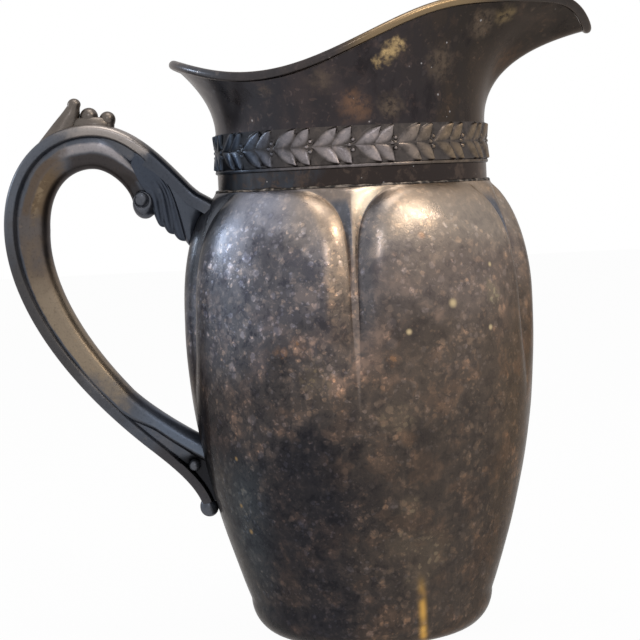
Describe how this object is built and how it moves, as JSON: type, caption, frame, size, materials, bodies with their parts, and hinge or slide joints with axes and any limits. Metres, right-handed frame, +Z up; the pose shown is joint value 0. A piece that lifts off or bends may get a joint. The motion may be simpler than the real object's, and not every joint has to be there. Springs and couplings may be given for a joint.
{
  "type": "ewer",
  "caption": "Lobed sheet-metal ewer with a soldered flared neck, pouring lip, laurel collar band and scroll handle, for holding and pouring water.",
  "frame": {"origin": "centre of the base, on the table", "axes": "+Z up along the body's axis, +X towards the spout, -X towards the handle"},
  "size_m": [0.2192, 0.1274, 0.2303],
  "materials": {
    "body_plate": "tarnished silver plate over base metal, mottled brown and grey, worn gloss",
    "neck_plate": "dark tarnished silver plate with warm worn places, worn gloss",
    "ornament": "tarnished silver plate, dark in the hollows and rubbed bright on the leaves",
    "handle_cast": "dark pewter-grey plated casting with brassy wear where it is held",
    "solder": "dull grey solder"
  },
  "bodies": {
    "root": {"body_shell": "body_plate", "base_plate": "body_plate", "base_solder": "solder", "neck_spout": "neck_plate", "neck_solder": "solder", "laurel_band": "ornament", "rim_wire": "neck_plate", "handle_rail": "handle_cast", "handle_roll": "handle_cast", "handle_bracket": "handle_cast", "thumb_spur": "handle_cast", "thumb_beads": "handle_cast", "heel_bead": "handle_cast", "tail_bead": "handle_cast"}
  },
  "joints": []
}
